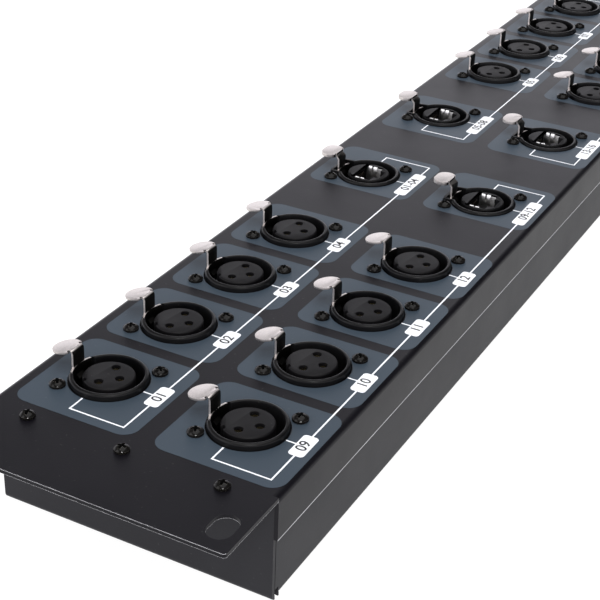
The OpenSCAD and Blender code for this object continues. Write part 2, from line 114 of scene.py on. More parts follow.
def rangeNode(tree, value, fromLow, fromHigh, toLow=0.0, toHigh=1.0):
    node = tree.nodes.new("ShaderNodeMapRange")
    for label, number in (("Value", value), ("From Min", fromLow), ("From Max", fromHigh),
                          ("To Min", toLow), ("To Max", toHigh)):
        feed(tree, node.inputs[label], number)
    return node.outputs["Result"]


def mixNode(tree, factor, first, second):
    node = tree.nodes.new("ShaderNodeMix")
    node.data_type = "RGBA"
    for key, value in (("Factor", factor), (6, first), (7, second)):
        feed(tree, node.inputs[key], value)
    return node.outputs[2]


def bevelNormal(tree, radius):
    node = tree.nodes.new("ShaderNodeBevel")
    node.samples = 4
    feed(tree, node.inputs["Radius"], radius)
    return node.outputs["Normal"]


def geometryNormal(tree, kind="Normal"):
    return tree.nodes.new("ShaderNodeNewGeometry").outputs[kind]


def objectPlace(tree):
    return tree.nodes.new("ShaderNodeTexCoord").outputs["Object"]


def shaderOf(material):
    tree = material.node_tree
    return tree, tree.nodes["Principled BSDF"]


def coverBase(material, factor, color):
    # Lays a colour over the base colour that a finish already has
    tree, shader = shaderOf(material)
    base = shader.inputs["Base Color"]
    tree.links.new(mixNode(tree, factor, base.links[0].from_socket, (*color, 1)), base)


# Camera, floor and light

studio = {
    "cameraPlace": (-0.467271, -0.179252, frontZ + 0.215985),
    "cameraTurn": (60.64103, -1.77407, -61.40114),  # degrees
    "lens": 87.232,
    "sensor": 36,
    "clip": (0.01, 50),
    "floorSize": 40.0,
    "floorDrop": 0.0002,
    "fadeHeights": (0.26, 0.62),  # sine of the elevation
    "wallGrey": 1.95,
    "ceilingGrey": 0.2,
    "darkSide": (0.80, -0.52, 0.30),  # a black cloth hangs on this side
    "darkSpread": (0.74, 0.92),  # cosine of the angle from its middle
    "darkGrey": 0.02,
    "shadeSide": (0.43, 0.75, 0.5),  # a thin grey cloth on the other side
    "shadeSpread": (0.90, 0.97),
    "shadeGrey": 0.5,
    "floorGrey": 0.2,
    "floorRoughness": 0.9,
    "floorSpecular": 0.1,
    "floorGlow": 0.93,  # what the camera sees of the floor
    "floorBounce": 0.72,  # what the object sees of it
    "roomTint": (0.95, 0.94, 1.0),
}

lamps = {  # place, aim, size and watts
    "topSoftbox": ((0.0, -0.2, 2.2), (0, 0, 0), (2.4, 2.0), 34),
    "leftSoftbox": ((-1.6, 1.2, 1.5), (-0.1, 0, 0), (1.2, 1.2), 12),
    "frontSoftbox": ((-0.6, -1.9, 1.1), (-0.1, 0, 0), (1.6, 1.0), 2),
    "glintLamp": ((-1.0, -0.6, 1.35), (-0.1, 0, 0), (0.3, 0.12), 7),
}


def addCamera():
    data = bpy.data.cameras.new("camera")
    data.lens = studio["lens"]
    data.sensor_width = studio["sensor"]
    data.clip_start, data.clip_end = studio["clip"]
    camera = bpy.data.objects.new("camera", data)
    camera.location = studio["cameraPlace"]
    camera.rotation_euler = [math.radians(a) for a in studio["cameraTurn"]]
    bpy.context.scene.collection.objects.link(camera)
    bpy.context.scene.camera = camera


def addLamp(name, place, aim, size, power):
    data = bpy.data.lights.new(name, "AREA")
    data.shape = "RECTANGLE"
    data.size, data.size_y = size
    data.energy = power
    lamp = bpy.data.objects.new(name, data)
    lamp.location = place
    lamp.rotation_euler = (Vector(aim) - Vector(place)).to_track_quat("-Z", "Y").to_euler()
    bpy.context.scene.collection.objects.link(lamp)


def addRoom():
    # Walls brighter than the ceiling, with a cloth hung on each of two sides
    world = bpy.data.worlds.new("softRoom")
    world.use_nodes = True
    tree = world.node_tree
    sky = tree.nodes["Background"]
    sky.inputs["Color"].default_value = (*studio["roomTint"], 1)
    around = tree.nodes.new("ShaderNodeTexCoord").outputs["Generated"]
    wall = rangeNode(tree, splitNode(tree, around)["Z"], *studio["fadeHeights"],
                     studio["wallGrey"], studio["ceilingGrey"])
    for name in ("dark", "shade"):
        side = Vector(studio[name + "Side"]).normalized()
        cloth = rangeNode(tree, vectorNode(tree, "DOT_PRODUCT", around, side),
                          *studio[name + "Spread"], 1.0, studio[name + "Grey"])
        wall = mathNode(tree, "MULTIPLY", wall, cloth)
    tree.links.new(wall, sky.inputs["Strength"])
    bpy.context.scene.world = world
    bpy.context.scene.view_settings.view_transform = "Standard"


def addFloor():
    half = studio["floorSize"] / 2
    low = -studio["floorDrop"]
    mesh = bpy.data.meshes.new("floor")
    mesh.from_pydata([(-half, -half, low), (half, -half, low), (half, half, low), (-half, half, low)],
                     [], [(0, 1, 2, 3)])
    floor = bpy.data.objects.new("floor", mesh)
    bpy.context.scene.collection.objects.link(floor)
    paper = bpy.data.materials.new("floorPaper")
    paper.use_nodes = True
    tree, shader = shaderOf(paper)
    shader.inputs["Base Color"].default_value = (*[studio["floorGrey"]] * 3, 1)
    shader.inputs["Roughness"].default_value = studio["floorRoughness"]
    shader.inputs["Specular IOR Level"].default_value = studio["floorSpecular"]
    shader.inputs["Emission Color"].default_value = (1, 1, 1, 1)
    straight = tree.nodes.new("ShaderNodeLightPath").outputs["Is Camera Ray"]
    glow = rangeNode(tree, straight, 0.0, 1.0, studio["floorBounce"], studio["floorGlow"])
    tree.links.new(glow, shader.inputs["Emission Strength"])
    mesh.materials.append(paper)


addCamera()
for lampName, lampValues in lamps.items():
    addLamp(lampName, *lampValues)
addRoom()
addFloor()
print("studio set up")


# Shader groups shared by the finishes. A noise is given as scale, detail and roughness.

grainShape = {"fineDetail": 2.0, "broadShare": 0.03, "broadDetail": 3.0}
edgeShape = {"bend": (0.99, 0.8), "breakNoise": (260.0, 4.0, 0.65), "breaks": (0.38, 0.62)}
dustShape = {"filmNoise": (35.0, 5.0, 0.6), "film": (0.35, 0.75), "speckNoise": (900.0, 1.0, 0.4),
             "specks": (0.74, 0.8), "color": (0.55, 0.53, 0.5, 1)}
streakShape = {"lineDetail": 3.0, "lineRoughness": 0.6, "stainNoise": (180.0, 3.0, 0.6),
               "lineShare": 0.6, "stainShare": 0.4}


def makeGrain():
    # Orange peel of a powder coat or the texture of moulded plastic
    tree, start, end = newGroup(
        "surfaceGrain",
        [("Vector", "NodeSocketVector", (0, 0, 0)), ("Scale", "NodeSocketFloat", 1500.0),
         ("Roughness", "NodeSocketFloat", 0.4), ("Roughness Spread", "NodeSocketFloat", 0.06)],
        [("Height", "NodeSocketFloat"), ("Roughness", "NodeSocketFloat")])
    given = start.outputs
    fine = noiseNode(tree, given["Vector"], given["Scale"], grainShape["fineDetail"])
    broadScale = mathNode(tree, "MULTIPLY", given["Scale"], grainShape["broadShare"])
    broad = noiseNode(tree, given["Vector"], broadScale, grainShape["broadDetail"])
    swing = mathNode(tree, "MULTIPLY", mathNode(tree, "SUBTRACT", broad, 0.5), given["Roughness Spread"])
    twice = mathNode(tree, "MULTIPLY", swing, 2.0)
    tree.links.new(fine, end.inputs["Height"])
    tree.links.new(mathNode(tree, "ADD", given["Roughness"], twice, clamp=True), end.inputs["Roughness"])
    return tree


def makeEdgeWearAndHighlight():
    # Brightens rounded edges, broken up by noise; this is wear, and painted highlight where it stands for
    # light caught on the edges of the panel's ears and the screws
    tree, start, end = newGroup(
        "edgeWear",
        [("Vector", "NodeSocketVector", (0, 0, 0)), ("Color", "NodeSocketColor", (0, 0, 0, 1)),
         ("Edge Color", "NodeSocketColor", (1, 1, 1, 1)), ("Radius", "NodeSocketFloat", 0.0002),
         ("Amount", "NodeSocketFloat", 0.5), ("Breaks", "NodeSocketFloat", 1.0)],
        [("Color", "NodeSocketColor")])
    given = start.outputs
    bend = vectorNode(tree, "DOT_PRODUCT", bevelNormal(tree, given["Radius"]),
                      geometryNormal(tree, "True Normal"))
    edge = rangeNode(tree, bend, *edgeShape["bend"])
    gaps = rangeNode(tree, noiseNode(tree, given["Vector"], *edgeShape["breakNoise"]),
                     *edgeShape["breaks"], 1.0, 0.0)
    kept = mathNode(tree, "SUBTRACT", 1.0, mathNode(tree, "MULTIPLY", gaps, given["Breaks"]))
    mask = mathNode(tree, "MULTIPLY", mathNode(tree, "MULTIPLY", edge, kept), given["Amount"], clamp=True)
    tree.links.new(mixNode(tree, mask, given["Color"], given["Edge Color"]), end.inputs["Color"])
    return tree


def makeDust():
    # A thin uneven film and a few specks of dust
    tree, start, end = newGroup(
        "dustFilm",
        [("Vector", "NodeSocketVector", (0, 0, 0)), ("Color", "NodeSocketColor", (0, 0, 0, 1)),
         ("Film", "NodeSocketFloat", 0.02), ("Specks", "NodeSocketFloat", 0.05)],
        [("Color", "NodeSocketColor")])
    given = start.outputs
    film = rangeNode(tree, noiseNode(tree, given["Vector"], *dustShape["filmNoise"]), *dustShape["film"])
    specks = rangeNode(tree, noiseNode(tree, given["Vector"], *dustShape["speckNoise"]), *dustShape["specks"])
    total = mathNode(tree, "ADD", mathNode(tree, "MULTIPLY", film, given["Film"]),
                     mathNode(tree, "MULTIPLY", specks, given["Specks"]), clamp=True)
    tree.links.new(mixNode(tree, total, given["Color"], dustShape["color"]), end.inputs["Color"])
    return tree


def makeStreaks():
    # Fine lines of a drawn or brushed metal, along the vector's Y
    tree, start, end = newGroup(
        "brushStreaks",
        [("Vector", "NodeSocketVector", (0, 0, 0)), ("Color", "NodeSocketColor", (1, 1, 1, 1)),
         ("Scale", "NodeSocketFloat", 2500.0), ("Stretch", "NodeSocketFloat", 0.04),
         ("Contrast", "NodeSocketFloat", 0.1), ("Roughness", "NodeSocketFloat", 0.3)],
        [("Color", "NodeSocketColor"), ("Roughness", "NodeSocketFloat"), ("Height", "NodeSocketFloat")])
    given = start.outputs
    squeeze = tree.nodes.new("ShaderNodeCombineXYZ")
    for label, value in (("X", 1), ("Y", given["Stretch"]), ("Z", 1)):
        feed(tree, squeeze.inputs[label], value)
    scaled = vectorNode(tree, "MULTIPLY", given["Vector"], squeeze.outputs["Vector"])
    lines = noiseNode(tree, scaled, given["Scale"], streakShape["lineDetail"], streakShape["lineRoughness"])
    stains = noiseNode(tree, given["Vector"], *streakShape["stainNoise"])
    both = mathNode(tree, "ADD", mathNode(tree, "MULTIPLY", lines, streakShape["lineShare"]),
                    mathNode(tree, "MULTIPLY", stains, streakShape["stainShare"]))
    swing = mathNode(tree, "MULTIPLY", mathNode(tree, "SUBTRACT", both, 0.5), given["Contrast"])
    level = mathNode(tree, "ADD", 1.0, mathNode(tree, "MULTIPLY", swing, 2.0))
    tree.links.new(vectorNode(tree, "SCALE", given["Color"], level), end.inputs["Color"])
    tree.links.new(mathNode(tree, "ADD", given["Roughness"], swing, clamp=True), end.inputs["Roughness"])
    tree.links.new(lines, end.inputs["Height"])
    return tree


grainGroup = makeGrain()
wearAndHighlightGroup = makeEdgeWearAndHighlight()
dustGroup = makeDust()
streakGroup = makeStreaks()


def placeGroup(tree, group, values):
    node = tree.nodes.new("ShaderNodeGroup")
    node.node_tree = group
    for label, value in values.items():
        feed(tree, node.inputs[label], value)
    return node


def startFinish(name):
    material = bpy.data.materials.new(name)
    material.use_nodes = True
    tree, shader = shaderOf(material)
    return material, tree, shader, objectPlace(tree)


def addBump(tree, shader, height, distance):
    bump = tree.nodes.new("ShaderNodeBump")
    bump.inputs["Distance"].default_value = distance
    bump.inputs["Strength"].default_value = 1.0
    tree.links.new(height, bump.inputs["Height"])
    tree.links.new(bump.outputs["Normal"], shader.inputs["Normal"])


# Painted highlights on the ears' edges, where light catches them. Each pair says where a mask begins and
# where it is full.

earStart = 216 * mm
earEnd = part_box("front_panel")[1].x
earBack = frontZ - 1.2 * mm
earMiddle = frontZ - 0.6 * mm
earHighlight = {
    "onEar": (earStart - 0.2 * mm, earStart),
    "atEnd": (earEnd - 0.8 * mm, earEnd - 0.6 * mm),
    "below": (earMiddle + 0.1 * mm, earMiddle - 0.1 * mm),
    "onSheet": (earBack - 0.4 * mm, earBack - 0.2 * mm),
    "turned": (-0.05, -0.35, 0.1, 1.0),
}
lipHighlight = {"width": 0.33 * mm, "fullShare": 0.8, "upright": (0.5, 0.7), "noise": (120.0, 3.0),
            "uneven": (0.3, 0.7, 0.65, 1.0), "color": (0.6, 0.6, 0.62)}
recessShade = (0.0015, 0.0014, 0.0013)
paintedShade = {"fade": 0.3 * mm, "inner": (-0.45, -0.75), "color": (0.02, 0.019, 0.018)}


def earHighlightAmount(tree, place, amount, radius):
    # Painted highlight on the ears' lower edges and ends, where they face the near end or the lower side and
    # catch the light
    axes = splitNode(tree, place)
    along = mathNode(tree, "ABSOLUTE", axes["X"])
    onEar = rangeNode(tree, along, *earHighlight["onEar"])
    atEnd = rangeNode(tree, along, *earHighlight["atEnd"])
    below = rangeNode(tree, axes["Z"], *earHighlight["below"])
    onSheet = rangeNode(tree, axes["Z"], *earHighlight["onSheet"])
    faces = splitNode(tree, bevelNormal(tree, radius))
    caught = rangeNode(tree, mathNode(tree, "MINIMUM", faces["X"], faces["Y"]), *earHighlight["turned"])
    share = mathNode(tree, "MAXIMUM", below, atEnd)
    for factor in (onEar, onSheet, caught, amount):
        share = mathNode(tree, "MULTIPLY", share, factor)
    return share


def paintLipHighlight(material, low):
    # Painted highlight: a light strip along the lower edge of a folded sheet, where the edge catches the
    # light
    tree = material.node_tree
    place = objectPlace(tree)
    facing = mathNode(tree, "ABSOLUTE", splitNode(tree, geometryNormal(tree))["Y"])
    upright = rangeNode(tree, facing, *lipHighlight["upright"])
    width = lipHighlight["width"]
    height = rangeNode(tree, splitNode(tree, place)["Z"], low + width, low + lipHighlight["fullShare"] * width)
    strip = mathNode(tree, "MULTIPLY", height, upright)
    uneven = rangeNode(tree, noiseNode(tree, place, *lipHighlight["noise"]), *lipHighlight["uneven"])
    coverBase(material, mathNode(tree, "MULTIPLY", strip, uneven), lipHighlight["color"])


def paintRecessShade(material):
    # Painted shade: dark colour in the cross recess of a screw, where shade falls; the recess is also made
    # rougher
    tree, shader = shaderOf(material)
    recess = tree.nodes.new("ShaderNodeAttribute")
    recess.attribute_name = "recess"
    coverBase(material, recess.outputs["Fac"], recessShade)
    roughness = shader.inputs["Roughness"]
    dull = rangeNode(tree, recess.outputs["Fac"], 0.0, 1.0, roughness.links[0].from_socket, 1.0)
    tree.links.new(dull, roughness)


def paintShadeLow(material, top, inner=False):
    # Painted shade: black below a height, where shade falls deep in the socket, and if asked also on the
    # faces towards the socket's middle, which lie in shade
    tree = material.node_tree
    black = rangeNode(tree, splitNode(tree, objectPlace(tree))["Z"], top, top - paintedShade["fade"])
    if inner:
        towards = rangeNode(tree, splitNode(tree, geometryNormal(tree))["Y"], *paintedShade["inner"])
        black = mathNode(tree, "MAXIMUM", black, towards)
    coverBase(material, black, paintedShade["color"])


def paintedFinish(name, color, edge, roughness, grain, bump, specular, wearAndHighlight, spread=0.06, radius=0.0002,
                  breaks=1.0, ears=False, film=0.01, specks=0.03, tint=(1, 1, 1), coat=0.0):
    material, tree, shader, place = startFinish(name)
    grainNode = placeGroup(tree, grainGroup, {"Vector": place, "Scale": grain, "Roughness": roughness,
                                              "Roughness Spread": spread})
    amount = earHighlightAmount(tree, place, wearAndHighlight, radius) if ears else wearAndHighlight
    wearAndHighlightNode = placeGroup(tree, wearAndHighlightGroup, {"Vector": place, "Color": (*color, 1), "Edge Color": (*edge, 1),
                                            "Radius": radius, "Amount": amount, "Breaks": breaks})
    dustNode = placeGroup(tree, dustGroup, {"Vector": place, "Color": wearAndHighlightNode.outputs["Color"],
                                            "Film": film, "Specks": specks})
    tree.links.new(dustNode.outputs["Color"], shader.inputs["Base Color"])
    tree.links.new(grainNode.outputs["Roughness"], shader.inputs["Roughness"])
    shader.inputs["Specular IOR Level"].default_value = specular
    shader.inputs["Specular Tint"].default_value = (*tint, 1)
    shader.inputs["Coat Weight"].default_value = coat
    addBump(tree, shader, grainNode.outputs["Height"], bump)
    return material


def metalFinish(name, color, roughness, contrast=0.12, stretch=0.04, scale=2500.0):
    material, tree, shader, place = startFinish(name)
    streaks = placeGroup(tree, streakGroup, {"Vector": place, "Color": (*color, 1), "Scale": scale,
                                             "Stretch": stretch, "Contrast": contrast,
                                             "Roughness": roughness})
    tree.links.new(streaks.outputs["Color"], shader.inputs["Base Color"])
    tree.links.new(streaks.outputs["Roughness"], shader.inputs["Roughness"])
    shader.inputs["Metallic"].default_value = 1.0
    addBump(tree, shader, streaks.outputs["Height"], 0.000004)
    return material


paintTint = (0.95, 0.935, 1)
plasticEdge = (0.05, 0.05, 0.055)
# The panel's bright edge colour is painted highlight on the ears' edges; the lip below paints a highlight
# along the sheet's lower edge
panelPaint = paintedFinish(
    "panelPaint", (0.0026, 0.0023, 0.0039), (0.8, 0.8, 0.82), roughness=0.38, grain=1800.0, bump=0.000012,
    specular=0.2, wearAndHighlight=0.95, radius=0.00028, breaks=0.3, ears=True, film=0.002, tint=paintTint)
paintLipHighlight(panelPaint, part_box("front_panel")[0].z)
coverPaint = paintedFinish(
    "coverPaint", (0.018, 0.018, 0.0205), (0.1, 0.1, 0.1), roughness=0.45, grain=1500.0, bump=0.000014,
    specular=0.2, wearAndHighlight=0.3, film=0.003, tint=paintTint)
fieldInk = paintedFinish(
    "fieldInk", (0.039, 0.055, 0.073), (0.09, 0.12, 0.15), roughness=0.42, grain=2200.0, bump=0.000006,
    specular=0.22, wearAndHighlight=0.0, film=0.003)
printInk = paintedFinish(
    "printInk", (0.93, 0.95, 0.98), (0.9, 0.9, 0.9), roughness=0.5, grain=2600.0, bump=0.000004,
    specular=0.4, wearAndHighlight=0.0, film=0.02, specks=0.0)
digitInk = paintedFinish(
    "digitInk", (0.02, 0.02, 0.022), (0.03, 0.03, 0.03), roughness=0.5, grain=2600.0, bump=0.000004,
    specular=0.3, wearAndHighlight=0.0)
socketBlack = paintedFinish(
    "socketBlack", (0.0018, 0.0018, 0.0022), plasticEdge, roughness=0.3, grain=2400.0, bump=0.000005,
    specular=0.15, wearAndHighlight=0.5, radius=0.00015)
insertPlastic = paintedFinish(
    "insertPlastic", (0.0032, 0.0029, 0.0036), plasticEdge, roughness=0.5, grain=2600.0, bump=0.000006,
    specular=0.14, wearAndHighlight=0.3, radius=0.00015)
dataPlastic = paintedFinish(
    "dataPlastic", (0.0018, 0.0018, 0.0022), plasticEdge, roughness=0.45, grain=2200.0, bump=0.00001,
    specular=0.08, wearAndHighlight=0.3, radius=0.00015)
# The screws' bright edge colour is both wear and painted highlight along the rims of the cross
screwBlack = paintedFinish(
    "screwBlack", (0.004, 0.0036, 0.0032), (0.3, 0.28, 0.24), roughness=0.1, grain=2600.0, bump=0.000002,
    specular=0.14, wearAndHighlight=0.6, spread=0.03, radius=0.0001, breaks=0.6)
boardMask = paintedFinish(
    "boardMask", (0.012, 0.075, 0.035), (0.25, 0.25, 0.12), roughness=0.3, grain=900.0, bump=0.00002,
    specular=0.5, wearAndHighlight=0.8, radius=0.0003, coat=0.4)
# Painted shade in the screws' cross recesses
paintRecessShade(screwBlack)
leverNickel = metalFinish(
    "leverNickel", (0.68, 0.635, 0.61), roughness=0.42, contrast=0.5, stretch=1.0, scale=2300.0)
# Painted shade on the levers inside the ring and on their faces towards the socket
paintShadeLow(leverNickel, frontZ - 0.1 * mm, inner=True)
pinSteel = metalFinish("pinSteel", (0.55, 0.55, 0.55), roughness=0.3, stretch=1.0)
springSteel = metalFinish("springSteel", (0.45, 0.45, 0.46), roughness=0.35)
shieldTin = metalFinish("shieldTin", (0.88, 0.87, 0.86), roughness=0.34, contrast=0.08)
# Painted shade on the shield tabs deep in the well
paintShadeLow(shieldTin, frontZ - 6.5 * mm)
contactSilver = metalFinish("contactSilver", (0.72, 0.66, 0.5), roughness=0.25, stretch=1.0)
# Painted shade: the gold is darkened nearly to black, as the contacts lie in shade deep in the well
contactGold = metalFinish("contactGold", (0.025, 0.019, 0.013), roughness=0.35)
print("finishes made")


# Mesh helpers

meshShape = {"merge": 1e-6, "flatAngle": 0.5, "bevelAngle": 32, "smoothAngle": 22, "levelWeight": 90}


def newObject(name, mesh):
    piece = bpy.data.objects.new(name, mesh)
    bpy.context.scene.collection.objects.link(piece)
    return piece


def plainMesh(piece):
    # The piece's mesh with its modifiers in it; the piece itself is removed
    graph = bpy.context.evaluated_depsgraph_get()
    mesh = bpy.data.meshes.new_from_object(piece.evaluated_get(graph), depsgraph=graph)
    mesh.name = piece.name
    bpy.data.objects.remove(piece)
    return mesh


def smoothFlats(mesh, angle=meshShape["smoothAngle"]):
    mesh.shade_smooth()
    mesh.set_sharp_from_angle(angle=math.radians(angle))


def nodeMesh(node, centre=(0, 0, 0), reach=None):
    # Merged copy of a node's mesh, or of what lies within reach of a place, moved to the origin
    work = bmesh.new()
    work.from_mesh(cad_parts[node].data)
    if reach:
        outside = [v for v in work.verts
                   if max(abs(v.co.x - centre[0]), abs(v.co.y - centre[1])) > reach]
        bmesh.ops.delete(work, geom=outside, context="VERTS")
    bmesh.ops.remove_doubles(work, verts=work.verts, dist=meshShape["merge"])
    bmesh.ops.dissolve_limit(work, angle_limit=math.radians(meshShape["flatAngle"]), verts=work.verts,
                             edges=work.edges)
    bmesh.ops.translate(work, verts=work.verts, vec=-Vector(centre))
    mesh = bpy.data.meshes.new(node)
    work.to_mesh(mesh)
    work.free()
    return mesh


def roundedMesh(mesh, width, segments=2, angle=meshShape["bevelAngle"]):
    piece = newObject("work", mesh)
    bevel = piece.modifiers.new("roundEdges", "BEVEL")
    bevel.width = width
    bevel.segments = segments
    bevel.limit_method = "ANGLE"
    bevel.angle_limit = math.radians(angle)
    rounded = plainMesh(piece)
    smoothFlats(rounded)
    return rounded


def levelMesh(mesh):
    # Normals weighted by the faces' sizes, so that a large flat shades flat up to its rounded edges
    piece = newObject("work", mesh)
    level = piece.modifiers.new("levelNormals", "WEIGHTED_NORMAL")
    level.keep_sharp = True
    level.weight = meshShape["levelWeight"]
    return plainMesh(piece)


def joined(name, meshes):
    work = bmesh.new()
    for mesh in meshes:
        work.from_mesh(mesh)
    result = bpy.data.meshes.new(name)
    work.to_mesh(result)
    work.free()
    return result


def finishPiece(piece, material, body, replaced=()):
    piece.data.materials.clear()
    piece.data.materials.append(material)
    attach(piece, body)
    if replaced:
        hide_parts(*replaced)


# A tree that sets one part on every point, each with its own small turn

def makeRepeatTree():
    tree = bpy.data.node_groups.new("repeatPart", "GeometryNodeTree")
    for label, kind, value in (("Points", "Geometry", None), ("Part", "Object", None),
                               ("Size", "Float", 1.0), ("Largest Turn", "Float", 0.0),
                               ("Seed", "Int", 3), ("Finish", "Material", None)):
        socket = tree.interface.new_socket(label, in_out="INPUT", socket_type="NodeSocket" + kind)
        if value is not None:
            socket.default_value = value
    tree.interface.new_socket("Parts", in_out="OUTPUT", socket_type="NodeSocketGeometry")
    start = tree.nodes.new("NodeGroupInput")
    end = tree.nodes.new("NodeGroupOutput")
    part = tree.nodes.new("GeometryNodeObjectInfo")
    onPoints = tree.nodes.new("GeometryNodeInstanceOnPoints")
    turn = tree.nodes.new("FunctionNodeRandomValue")
    turn.data_type = "FLOAT"
    axis = tree.nodes.new("ShaderNodeCombineXYZ")
    opposite = mathNode(tree, "MULTIPLY", start.outputs["Largest Turn"], -1)
    real = tree.nodes.new("GeometryNodeRealizeInstances")
    finish = tree.nodes.new("GeometryNodeSetMaterial")
    link = tree.links.new
    link(start.outputs["Points"], onPoints.inputs["Points"])
    link(start.outputs["Part"], part.inputs["Object"])
    link(part.outputs["Geometry"], onPoints.inputs["Instance"])
    link(start.outputs["Size"], onPoints.inputs["Scale"])
    link(opposite, turn.inputs[2])
    link(start.outputs["Largest Turn"], turn.inputs[3])
    link(start.outputs["Seed"], turn.inputs["Seed"])
    link(turn.outputs[1], axis.inputs["Z"])
    link(axis.outputs["Vector"], onPoints.inputs["Rotation"])
    link(onPoints.outputs["Instances"], real.inputs["Geometry"])
    link(real.outputs["Geometry"], finish.inputs["Geometry"])
    link(start.outputs["Finish"], finish.inputs["Material"])
    link(finish.outputs["Geometry"], end.inputs["Parts"])
    return tree


repeatTree = makeRepeatTree()


def repeatMesh(name, partMesh, places, material, largestTurn=0.0, seed=3):
    part = newObject(name + "Part", partMesh)
    points = bpy.data.meshes.new(name)
    points.from_pydata([tuple(p) for p in places], [], [])
    holder = newObject(name, points)
    modifier = holder.modifiers.new("repeat", "NODES")
    modifier.node_group = repeatTree
    values = {"Part": part, "Size": 1.0, "Largest Turn": largestTurn, "Seed": seed,
              "Finish": material}
    for item in repeatTree.interface.items_tree:
        if item.in_out == "INPUT" and item.name in values:
            modifier[item.identifier] = values[item.name]
    bpy.context.view_layer.update()
    mesh = plainMesh(holder)
    bpy.data.objects.remove(part)
    return mesh


# Folded sheets

sheetEdges = {"bevel": 0.14 * mm, "segments": 2}


def addSheets():
    for node, name, material, slotName in (("front_panel", "panelSheet", panelPaint, "panel_paint"),
                                           ("rear_cover", "coverTray", coverPaint, "cover_paint")):
        mesh = levelMesh(roundedMesh(nodeMesh(node), sheetEdges["bevel"], sheetEdges["segments"]))
        finishPiece(newObject(name, mesh), material, unitBody, [node])


addSheets()
print("sheets folded")


# Sockets

socketEdges = {"shellBevel": 0.12 * mm, "insertBevel": 0.12 * mm, "shieldBevel": 0.05 * mm,
               "reach": 22 * mm}


def addSockets():
    insertNodes = [f"xlr_inserts_{g}" for g in groupLetters]
    shell, insert, shield = (socketEdges[key] for key in ("shellBevel", "insertBevel", "shieldBevel"))
    for name, nodes, places, bevel, material, slotName in (
            ("xlrShells", xlrNodes, xlrPlaces, shell, socketBlack, "shell_black"),
            ("xlrInserts", insertNodes, xlrPlaces, insert, insertPlastic, "insert_plastic"),
            ("dataShells", dataNodes, dataPlaces, shell, socketBlack, "shell_black"),
            ("dataInserts", ["data_inserts"], dataPlaces, insert, dataPlastic, "insert_plastic"),
            ("dataShields", ["data_shields"], dataPlaces, shield, shieldTin, "shield_tin")):
        part = roundedMesh(nodeMesh(nodes[0], places[0], socketEdges["reach"]), bevel)
        mesh = repeatMesh(name, part, places, material)
        smoothFlats(mesh)
        finishPiece(newObject(name, mesh), material, unitBody, nodes)


addSockets()
print("sockets placed")


# Screws: domed heads with a cross recess, set on every hole

screwShape = {
    "socketHead": (2.3 * mm, 1.85 * mm),  # radius and height
    "coverHead": (2.15 * mm, 1.75 * mm),
    "socketLength": 7 * mm,
    "coverLength": 4 * mm,
    "rimShare": 0.42,
    "rimRound": 0.12 * mm,
    "domeSteps": 8,
    "shankRadius": 1.45 * mm,
    "shankChamfer": 0.3 * mm,
    "recessWidth": 0.95 * mm,
    "recessReach": 1.65 * mm,
    "recessDepth": 1.5 * mm,
    "recessSink": 0.03 * mm,  # faces this far under the dome count as recess
    "cutterRise": 0.3 * mm,
    "bladeFoot": (0.45, 0.6),  # length and width at a blade's foot, of those at its top
    "bladeStep": 0.02 * mm,  # keeps the two blades' feet off one plane
    "smoothAngle": 28,
    "sides": 48,
}
screwOffset = Vector((9.8 * mm, -10.2 * mm, 0))


def revolve(name, profile, sides):
    # Closed solid of revolution from a profile that starts and ends on the axis
    work = bmesh.new()
    rings = []
    for radius, z in profile:
        if radius < 1e-7:
            rings.append([work.verts.new((0, 0, z))])
        else:
            rings.append([work.verts.new((radius * math.cos(a), radius * math.sin(a), z))
                          for a in (2 * math.pi * k / sides for k in range(sides))])
    for lower, upper in zip(rings, rings[1:]):
        for k in range(sides):
            n = (k + 1) % sides
            if len(lower) == 1:
                work.faces.new((lower[0], upper[k], upper[n]))
            elif len(upper) == 1:
                work.faces.new((lower[k], lower[n], upper[0]))
            else:
                work.faces.new((lower[k], lower[n], upper[n], upper[k]))
    bmesh.ops.recalc_face_normals(work, faces=work.faces)
    mesh = bpy.data.meshes.new(name)
    work.to_mesh(mesh)
    work.free()
    return mesh


def crossCutter(shape, height):
    # Two crossed blades that taper downwards
    work = bmesh.new()
    top = height + shape["cutterRise"]
    bottom = height - shape["recessDepth"]
    for turn in (0, math.pi / 2):
        made = bmesh.ops.create_cube(work, size=1.0)["verts"]
        for v in made:
            high = v.co.z > 0
            long, wide = (1.0, 1.0) if high else shape["bladeFoot"]
            v.co = Vector((2 * v.co.x * shape["recessReach"] * long, v.co.y * shape["recessWidth"] * wide,
                           top if high else bottom - turn * shape["bladeStep"]))
        bmesh.ops.rotate(work, verts=made, cent=(0, 0, 0), matrix=Matrix.Rotation(turn, 3, "Z"))
    mesh = bpy.data.meshes.new("crossCutter")
    work.to_mesh(mesh)
    work.free()
    return mesh


